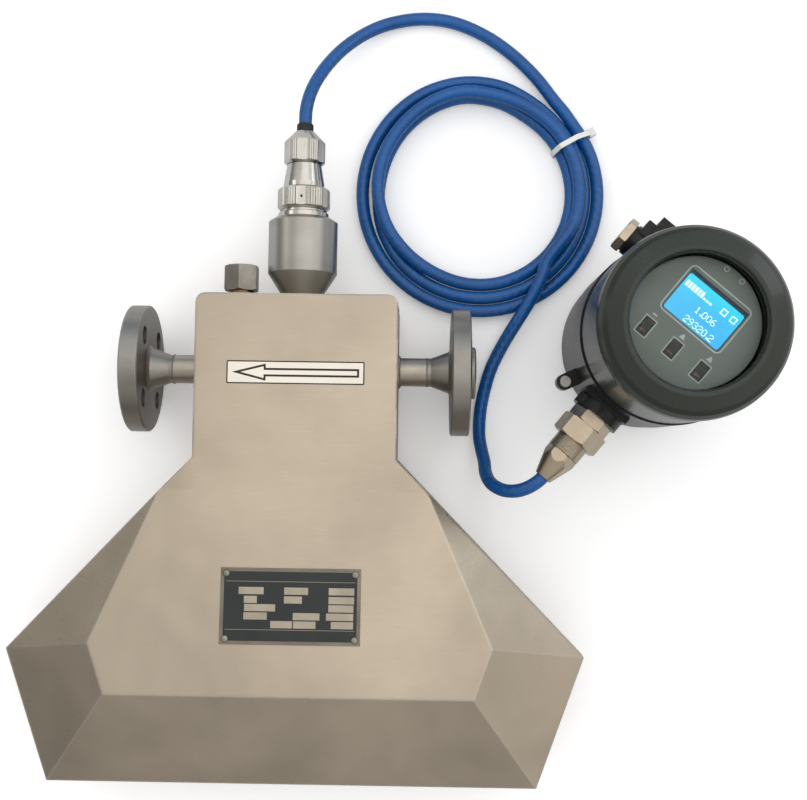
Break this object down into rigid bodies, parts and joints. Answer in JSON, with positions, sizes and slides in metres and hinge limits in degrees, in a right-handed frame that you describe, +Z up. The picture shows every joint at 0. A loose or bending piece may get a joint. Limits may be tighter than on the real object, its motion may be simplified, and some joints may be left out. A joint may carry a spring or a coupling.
{
  "type": "coriolis flow meter",
  "caption": "Remote-mount mass flow meter: delta-tube sensor in a faceted steel casing between pipe flanges, wired by a cable to a round transmitter with a display.",
  "frame": {"origin": "centre of the inlet flange's face, on the flow axis", "axes": "+X leaves the inlet flange along the flow axis, +Y from the casing towards its connector, +Z up from the surface it lies on"},
  "size_m": [0.542, 0.5943, 0.1951],
  "materials": {
    "casing_steel": "glass-bead blasted stainless sheet, satin",
    "flange_steel": "turned and blasted stainless, satin",
    "spool_steel": "pickled stainless pipe",
    "inner_steel": "machined stainless",
    "tube_steel": "drawn stainless tube, bright",
    "copper_winding": "lacquered copper winding",
    "magnet_steel": "plated magnet",
    "circuit_board": "green solder mask",
    "vent_steel": "turned stainless",
    "copper_washer": "soft copper",
    "blasted_steel": "bead-blasted stainless, matt",
    "nickel_plate": "bright nickel plate on brass",
    "insulator": "moulded thermoset",
    "black_rubber": "matt rubber",
    "label_film": "printed film",
    "plate_black": "etched and filled metal plate",
    "rivet_aluminium": "drawn rivets",
    "cable_blue": "smooth sheath, half gloss",
    "nylon_white": "natural nylon",
    "housing_paint": "gloss powder coat on cast aluminium",
    "cover_paint": "gloss powder coat on cast aluminium",
    "window": "clear tempered glass",
    "retainer_black": "black anodised",
    "faceplate_grey": "moulded plastic with a printed face",
    "display_blue": "backlit display",
    "key_dark": "dark lens",
    "potting": "cast resin",
    "terminal_green": "moulded plastic",
    "gland_nickel": "nickel-plated brass",
    "screw_steel": "stainless"
  },
  "bodies": {
    "root": {"casing_front": "casing_steel", "casing_rear": "casing_steel", "inlet_flange": "flange_steel", "outlet_flange": "flange_steel", "inlet_spool": "spool_steel", "outlet_spool": "spool_steel", "inlet_manifold": "inner_steel", "outlet_manifold": "inner_steel", "support_beam": "inner_steel", "front_flow_tube": "tube_steel", "rear_flow_tube": "tube_steel", "brace_plates": "inner_steel", "drive_coil": "copper_winding", "drive_magnet": "magnet_steel", "inlet_pickoff_coil": "copper_winding", "inlet_pickoff_magnet": "magnet_steel", "outlet_pickoff_coil": "copper_winding", "outlet_pickoff_magnet": "magnet_steel", "temperature_sensor": "tube_steel", "sensor_harness": "circuit_board", "vent_stub": "vent_steel", "socket_housing": "blasted_steel", "receptacle": "nickel_plate", "receptacle_insert": "insulator", "plug_shell": "nickel_plate", "plug_insert": "insulator", "cable_grommet": "black_rubber", "arrow_label": "label_film", "nameplate": "plate_black", "nameplate_rivets": "rivet_aluminium", "cable_lead": "cable_blue", "cable_coil": "cable_blue", "cable_tail": "cable_blue", "cable_tie": "nylon_white", "cable_cores": "cable_blue", "housing": "housing_paint", "faceplate": "faceplate_grey", "display_module": "display_blue", "key_windows": "key_dark", "display_board": "circuit_board", "main_board": "circuit_board", "feedthrough": "potting", "terminal_block": "terminal_green", "gland_adapter": "gland_nickel", "gland_body": "gland_nickel", "gland_seal": "black_rubber", "earth_screw": "screw_steel"},
    "front_seal": {"front_cover_seal": "black_rubber"},
    "front_cover": {"front_cover": "cover_paint", "window_glass": "window", "window_retainer": "retainer_black"},
    "rear_seal": {"rear_cover_seal": "black_rubber"},
    "rear_cover": {"rear_cover": "housing_paint"},
    "vent_seal": {"vent_seal": "copper_washer"},
    "vent_cap": {"vent_cap": "vent_steel"},
    "plug_seal": {"blind_plug_seal": "black_rubber"},
    "blind_plug": {"blind_plug": "gland_nickel"},
    "gland_cap": {"gland_cap": "gland_nickel"},
    "coupling_nut": {"coupling_nut": "nickel_plate"},
    "clamp_nut": {"clamp_nut": "nickel_plate"}
  },
  "joints": [
    {"name": "front_cover_travel", "type": "slide", "parent": "root", "child": "front_seal", "axis": [0, 0, 1], "range_m": [0, 0.016]},
    {"name": "front_cover_turn", "type": "hinge", "parent": "front_seal", "child": "front_cover", "pos_m": [0.1375, 0.025, 0.1025], "axis": [0, 0, 1], "range_deg": [0, 2880]},
    {"name": "rear_cover_travel", "type": "slide", "parent": "root", "child": "rear_seal", "axis": [0, 0, -1], "range_m": [0, 0.016]},
    {"name": "rear_cover_turn", "type": "hinge", "parent": "rear_seal", "child": "rear_cover", "pos_m": [0.1375, 0.025, -0.0275], "axis": [0, 0, -1], "range_deg": [0, 2880]},
    {"name": "vent_cap_travel", "type": "slide", "parent": "root", "child": "vent_seal", "axis": [0, 1, 0], "range_m": [0, 0.012]},
    {"name": "vent_cap_turn", "type": "hinge", "parent": "vent_seal", "child": "vent_cap", "pos_m": [-0.173, 0.07, 0], "axis": [0, 1, 0], "range_deg": [0, 2880]},
    {"name": "blind_plug_travel", "type": "slide", "parent": "root", "child": "plug_seal", "axis": [-0.7716, 0.6361, 0], "range_m": [0, 0.012]},
    {"name": "blind_plug_turn", "type": "hinge", "parent": "plug_seal", "child": "blind_plug", "pos_m": [0.11483, 0.09812, 0.0285], "axis": [-0.7716, 0.6361, 0], "range_deg": [0, 2880]},
    {"name": "gland_cap_turn", "type": "hinge", "parent": "root", "child": "gland_cap", "pos_m": [0.06117, -0.0676, 0.0225], "axis": [-0.6361, -0.7716, 0], "range_deg": [0, 2160]},
    {"name": "coupling_nut_turn", "type": "hinge", "parent": "root", "child": "coupling_nut", "pos_m": [-0.127, 0.13, 0], "axis": [0, 1, 0], "range_deg": [0, 1800]},
    {"name": "clamp_nut_turn", "type": "hinge", "parent": "root", "child": "clamp_nut", "pos_m": [-0.127, 0.17, 0], "axis": [0, 1, 0], "range_deg": [0, 1800]}
  ],
  "couplings": [
    {"joint": "front_cover_travel", "follows": "front_cover_turn", "m_per_rad": 0.0003183},
    {"joint": "rear_cover_travel", "follows": "rear_cover_turn", "m_per_rad": 0.0003183},
    {"joint": "vent_cap_travel", "follows": "vent_cap_turn", "m_per_rad": 0.00023873},
    {"joint": "blind_plug_travel", "follows": "blind_plug_turn", "m_per_rad": 0.00023873}
  ]
}
